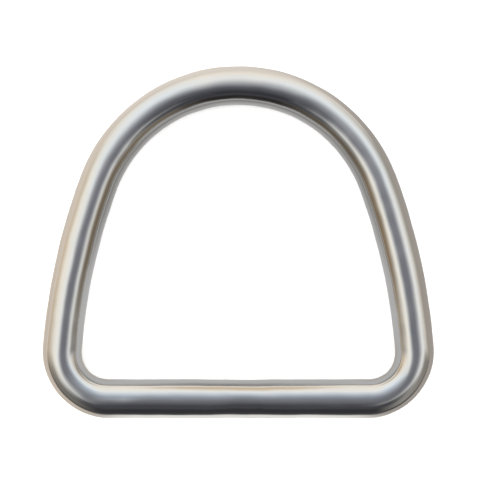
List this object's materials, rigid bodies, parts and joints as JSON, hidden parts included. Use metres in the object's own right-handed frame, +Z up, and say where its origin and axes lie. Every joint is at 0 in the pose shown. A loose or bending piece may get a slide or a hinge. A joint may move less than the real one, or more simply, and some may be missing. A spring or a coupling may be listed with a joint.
{
  "type": "d ring",
  "caption": "Closed D ring bent from round polished stainless wire: a straight bar for a strap, rounded corners, slightly bowed legs and a round crown for a hook.",
  "frame": {"origin": "under the middle of the ring's outline, on the surface that the ring lies on", "axes": "+X along the bar, +Y from the bar to the crown, +Z up, square to the ring's plane"},
  "size_m": [0.05, 0.045, 0.005],
  "materials": {
    "polished_steel": "mirror polished stainless steel"
  },
  "bodies": {
    "root": {"d_ring": "polished_steel"}
  },
  "joints": []
}
